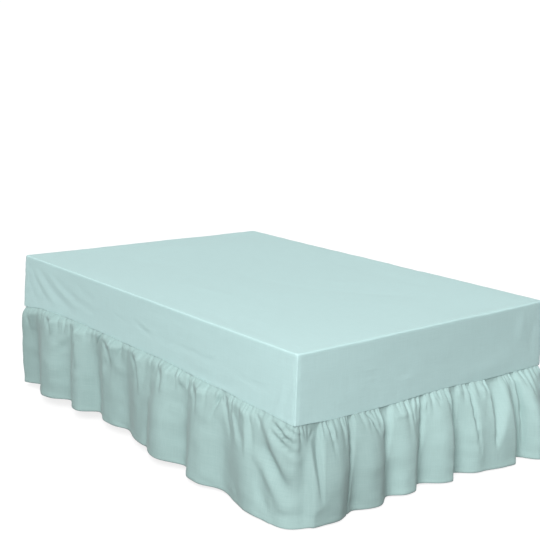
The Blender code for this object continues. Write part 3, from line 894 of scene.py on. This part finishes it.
# The hem's line in plan, its length, and which place of the seam each part of the strip is
# sewn to.
dense = np.linspace(CORNER_RADIUS, HEAD_RIGHT - CORNER_RADIUS, 12001)
hem_line = beside_bed(dense + eased(FOLDS, dense, 2), WALL_CLEARANCE + PUFF + hem_out(dense))
steps = np.hypot(*np.diff(hem_line, axis=0).T)
along_hem = np.concatenate(((0.0,), np.cumsum(steps)))
strip_length = along_hem[-1]
even = np.linspace(0, strip_length, 12001)
sewn_place = smoothed(np.interp(even, along_hem, dense), 110)
sewn_place += (dense[0] - sewn_place[0]) * (1 - even / strip_length)
sewn_place += (dense[-1] - sewn_place[-1]) * even / strip_length


def across_the_foot(place):
    """1 along the foot and 0 along the long sides, easing round the corners."""
    beyond = np.minimum(place - LEFT_CORNER, RIGHT_CORNER - place) / 0.08
    share = np.clip(0.5 + beyond / 2, 0, 1)
    return share * share * (3 - 2 * share)


def gather_depth(strip, place, drop):
    """How far the small gathers draw the strip in, at places along it and one drop."""
    total = np.zeros(len(strip))
    for seed, pitch, depths, reaches, beside in GATHERS:
        chance = np.random.default_rng(seed)
        drawn = np.zeros(len(strip))
        at_gather = FIRST_GATHER
        while at_gather < strip_length:
            depth = chance.uniform(*depths)
            reach = reaches[0] + (reaches[1] - reaches[0]) * chance.uniform() ** 1.8
            middle = at_gather + chance.uniform(-GATHER_SLANT, GATHER_SLANT) * drop
            half_width = pitch[0] * chance.uniform(*GATHER_WIDTHS) + GATHER_WIDENING * drop
            near = (middle - 5 * half_width, middle + 5 * half_width)
            start, end = np.searchsorted(strip, near)
            aside = (strip[start:end] - middle) / half_width
            fading = math.exp(-((drop / reach) ** 1.5))
            drawn[start:end] += depth * fading / (1 + aside**2) ** 1.5
            at_gather += chance.uniform(*pitch)
        total += drawn * (beside + (1 - beside) * across_the_foot(place))
    return total * min(1.0, 0.15 + drop / 0.010)


def tuck_depth(place, drop):
    """How far the pockets beside the crests' edges are drawn in."""
    drawn = np.zeros(len(place))
    for upper, lower, width, reach, depth, deepest in TUCKS:
        left = 1 - drop / reach
        if left <= 0:
            continue
        wide = abs(width) * left + POCKET_TIP
        edge = upper + (lower - upper) * drop / reach
        aside = (place - edge) * math.copysign(1, width) / wide
        share = np.where(aside < deepest, aside / deepest, (1 - aside) / (1 - deepest))
        share = np.clip(share, 0, 1)
        drawn += depth * min(1.0, 1.5 * left) * share * share * (3 - 2 * share)
    return drawn * min(1.0, 0.1 + drop / 0.020)


def puff_height(place, drop):
    """How far the puffs beside their shaded flanks stand out."""
    raised = np.zeros(len(place))
    for upper, lower, shaded, beyond, reach, height in PUFFS:
        left = 1 - drop / reach
        if left <= 0:
            continue
        edge = upper + (lower - upper) * drop / reach
        before = 1 - (edge - place) / (shaded * left + PUFF_TIP)
        after = 1 - (place - edge) / (beyond * (0.4 + 0.6 * left))
        share = np.clip(np.minimum(before, after), 0, 1)
        raised += height * left**0.7 * (0.35 * share + 0.65 * share * share * (3 - 2 * share))
        flank = np.clip(before, 0, 1) * np.clip(1 - before, 0, 1) * 4
        raised -= PUFF_HOLLOW * height * flank * math.sin(math.pi * drop / reach)
    return raised * min(1.0, drop / SETTLED_DROP)


def frill_row(strip, drop):
    """The points of one row of the strip, this far below the seam."""
    place = np.interp(strip, even, sewn_place)
    hem = np.column_stack([np.interp(strip, along_hem, hem_line[:, i]) for i in (0, 1)])
    seam_height = eased(WALL_EDGE, place, 1)
    seam_offset = WALL_CLEARANCE + eased(WALL_EDGE, place, 2)
    outward = outline(place)[1]
    hem_height = np.maximum(HEM_CLEARANCE, seam_height - FRILL_DROP)
    share = drop / FRILL_DROP
    spread = 1 - (1 - share) ** eased(BULGE, place, 3)
    behind = np.clip(1 - drop / SEAM_TURN_DROP, 0, 1)
    seam = beside_bed(place, seam_offset - SEAM_TURN_DEPTH * behind**2)
    emerging = np.clip(max(0.0, drop - SEAM_HIDDEN) / eased(BULGE, place, 2), 0, 1)
    puff = eased(BULGE, place, 1) * np.sin(emerging * math.pi / 2) * (1 - share) ** 1.6
    shallow = min(1.0, drop / SETTLED_DROP)
    raised = puff + creased(place, drop + place * 0, FRILL_CREASES) * shallow
    raised += puff_height(place, drop)
    fold = np.clip(1 - abs(drop - PACKED_FOLD_DROP) / PACKED_FOLD_REACH, 0, 1)
    raised += PACKED_FOLD_HEIGHT * fold * (0.6 + uneven(strip, strip * 0, PACKED_FOLD_UNEVENNESS))
    drawn = gather_depth(strip, place, drop) + tuck_depth(place, drop)
    # The gathers can't pull the strip in past the plane of the wall.
    room = puff + spread * np.maximum(hem_out(place) + PUFF, 0.004) + LEAST_ROOM
    drawn = room * np.tanh(drawn / room)
    raised = raised - drawn
    level = strip * 0 + drop
    raised += share**2 * uneven(strip, level, LOOSE_AT_THE_HEM)
    raised += share * uneven(strip, level, LOOSE_BELOW_THE_SEAM)
    raised += shallow * uneven(strip - 0.5 * drop, level, CRUMPLED)
    if FRILL_DROP - drop < HEM_DEPTH:
        raised = raised + HEM_PROUD
    plan = seam + (hem - seam) * spread[:, None] + outward * raised[:, None]
    ripple = uneven(strip, strip * 0, HEM_RIPPLE) * share**2
    fall = share * (seam_height + SEAM_HIDDEN - hem_height)
    return np.column_stack((plan, seam_height + SEAM_HIDDEN - fall + ripple))


coarse = np.linspace(0, strip_length, FRILL_COLUMNS + 1)
fine = np.linspace(0, strip_length, FRILL_COLUMNS * FINE_TO_COARSE + 1)
points, laid_out, rows = [], [], []
first = 0
for strip, drops in ((fine, FINE_DROPS), (coarse, COARSE_DROPS)):
    for drop in drops:
        points.append(frill_row(strip, drop))
        laid_out.append(np.column_stack((strip, -drop + strip * 0)))
        rows.append(first + np.arange(len(strip)))
        first += len(strip)
faces = []
for upper, lower in zip(rows, rows[1:]):
    if len(upper) == len(lower):
        faces += np.stack((lower[:-1], lower[1:], upper[1:], upper[:-1]), axis=1).tolist()
        continue
    for column in range(FRILL_COLUMNS):
        above = upper[column * FINE_TO_COARSE : (column + 1) * FINE_TO_COARSE + 1]
        faces.append([lower[column], lower[column + 1], *above[::-1]])

# Painted shade and painted light: the cloth's colour is made darker round the near corner, where
# the corner's folds shade it, and lighter along the foot, where more light falls on it.
frill_sheeting_painted = woven_sheeting("frill_cloth", FRILL_COLOUR_PAINTED_DARKER, FRILL_SHADE_PAINTED_DARKER)
tree = frill_sheeting_painted.node_tree
shader = tree.nodes["Principled BSDF"]
plain = shader.inputs["Base Color"].links[0].from_socket
along = add_node(tree, "ShaderNodeSeparateXYZ")
tree.links.new(add_node(tree, "ShaderNodeUVMap", uv_map="cloth").outputs[0], along.inputs[0])
for start, end, painted_gain in FRILL_PAINTED_SHADE_AND_LIGHT:
    between = np.interp((start, end), sewn_place, even)
    ramp = {"From Min": between[0], "From Max": between[1], "To Min": 1.0, "To Max": painted_gain}
    painted_light_ramp = add_node(tree, "ShaderNodeMapRange", ramp, interpolation_type="SMOOTHSTEP")
    tree.links.new(along.outputs["X"], painted_light_ramp.inputs["Value"])
    painted_light_scaled = add_node(tree, "ShaderNodeVectorMath", operation="SCALE")
    tree.links.new(plain, painted_light_scaled.inputs[0])
    tree.links.new(painted_light_ramp.outputs[0], painted_light_scaled.inputs["Scale"])
    plain = painted_light_scaled.outputs[0]
tree.links.new(plain, shader.inputs["Base Color"])
frill = new_piece("gathered_frill", np.concatenate(points), faces, frill_sheeting_painted)
lay_cloth_map(frill, np.concatenate(laid_out))
give_thickness(frill, FRILL_THICKNESS)
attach(frill, "root")
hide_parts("frill")

# ---- The studio -----------------------------------------------------------------------------
# A plain white floor in soft light from the left, above the foot, with even light all round.

FLOOR_SIZE = 400
FLOOR_SHOWN = 0.22  # the floor's own grey, to which its glow is added
FLOOR_GLOW = 0.82
FLOOR_THROWN_BACK = 0.30
AIR_LIGHT = 0.24
AIR_SHOWN = 1.1
WINDOW_LIGHT = 0.82 * math.pi
WINDOW_DIRECTION = (0.60, 0.43, -0.67)
WINDOW_SPREAD = 35  # degrees
CEILING_LIGHT = 0.27 * math.pi
CEILING_DIRECTION = (0.05, 0.05, -1)
CEILING_SPREAD = 50
SOFTBOX_POWER = 36.5
SOFTBOX_PLACE = (-2.6, -2.6, 1.7)
SOFTBOX_DIRECTION = (2.1, 1.9, -1.3)
SOFTBOX_SIZE = 1.4


def grey(value):
    return (value, value, value, 1)


def show_apart(tree, lighting, shown, output):
    """Lights the bed by one shader and shows another behind it."""
    seen = add_node(tree, "ShaderNodeLightPath")
    mixed = add_node(tree, "ShaderNodeMixShader")
    tree.links.new(seen.outputs["Is Camera Ray"], mixed.inputs[0])
    tree.links.new(lighting.outputs[0], mixed.inputs[1])
    tree.links.new(shown.outputs[0], mixed.inputs[2])
    tree.links.new(mixed.outputs[0], tree.nodes[output].inputs["Surface"])


bpy.ops.object.select_all(action="DESELECT")
bpy.ops.mesh.primitive_plane_add(size=FLOOR_SIZE, location=(0, 0, 0))
floor = bpy.context.object
floor.name = "studio_floor"
# The floor shows white, but throws little light back up at the frill.
floor_paint, tree, shader = new_finish("floor_paint", 0.9)
shader.inputs["Base Color"].default_value = grey(FLOOR_SHOWN)
shader.inputs["Specular IOR Level"].default_value = 0.0
shader.inputs["Emission Color"].default_value = grey(1)
shader.inputs["Emission Strength"].default_value = FLOOR_GLOW
dull = add_node(tree, "ShaderNodeBsdfDiffuse", {"Color": grey(FLOOR_THROWN_BACK)})
show_apart(tree, dull, shader, "Material Output")
floor.data.materials.append(floor_paint)

world = bpy.data.worlds.new("studio_air")
bpy.context.scene.world = world
world.use_nodes = True
air = world.node_tree
light = air.nodes["Background"]
light.inputs["Color"].default_value = grey(1)
light.inputs["Strength"].default_value = AIR_LIGHT
backdrop = add_node(air, "ShaderNodeBackground", {"Color": grey(1), "Strength": AIR_SHOWN})
show_apart(air, light, backdrop, "World Output")


def new_light(name, kind, energy, direction):
    """A light which shines this way."""
    light = bpy.data.lights.new(name, kind)
    light.energy = energy
    lamp = bpy.data.objects.new(name, light)
    lamp.rotation_mode = "QUATERNION"
    lamp.rotation_quaternion = Vector(direction).to_track_quat("-Z", "Y")
    lamp.visible_camera = False
    bpy.context.scene.collection.objects.link(lamp)
    return lamp


window = new_light("window_light", "SUN", WINDOW_LIGHT, WINDOW_DIRECTION)
window.data.angle = math.radians(WINDOW_SPREAD)
ceiling = new_light("ceiling_light", "SUN", CEILING_LIGHT, CEILING_DIRECTION)
ceiling.data.angle = math.radians(CEILING_SPREAD)
# A large lamp near the foot: its light falls off towards the head.
softbox = new_light("softbox", "AREA", SOFTBOX_POWER, SOFTBOX_DIRECTION)
softbox.location = SOFTBOX_PLACE
softbox.data.shape = "DISK"
softbox.data.size = SOFTBOX_SIZE

CAMERA_PLACE = (-3.3844, -3.9836, 1.8209)
CAMERA_TURNS = (40.288, 12.506, 1.80)  # degrees: from +Y towards +X, down, and over
CAMERA_YAW, CAMERA_PITCH, CAMERA_ROLL = (math.radians(turn) for turn in CAMERA_TURNS)
LENS = 81.707
SENSOR = 36.0
FAR_LIMIT = 500
forward = Vector(
    (
        math.sin(CAMERA_YAW) * math.cos(CAMERA_PITCH),
        math.cos(CAMERA_YAW) * math.cos(CAMERA_PITCH),
        -math.sin(CAMERA_PITCH),
    )
)
level = Vector((math.cos(CAMERA_YAW), -math.sin(CAMERA_YAW), 0))
upright = level.cross(forward)
right = level * math.cos(CAMERA_ROLL) + upright * math.sin(CAMERA_ROLL)
above = upright * math.cos(CAMERA_ROLL) - level * math.sin(CAMERA_ROLL)
camera_data = bpy.data.cameras.new("studio_camera")
camera_data.sensor_width = SENSOR
camera_data.lens = LENS
camera_data.clip_end = FAR_LIMIT
camera = bpy.data.objects.new("studio_camera", camera_data)
turned = Matrix((right, above, -forward)).transposed().to_4x4()
camera.matrix_world = Matrix.Translation(CAMERA_PLACE) @ turned
bpy.context.scene.collection.objects.link(camera)
bpy.context.scene.camera = camera
bpy.context.scene.view_settings.view_transform = "Standard"
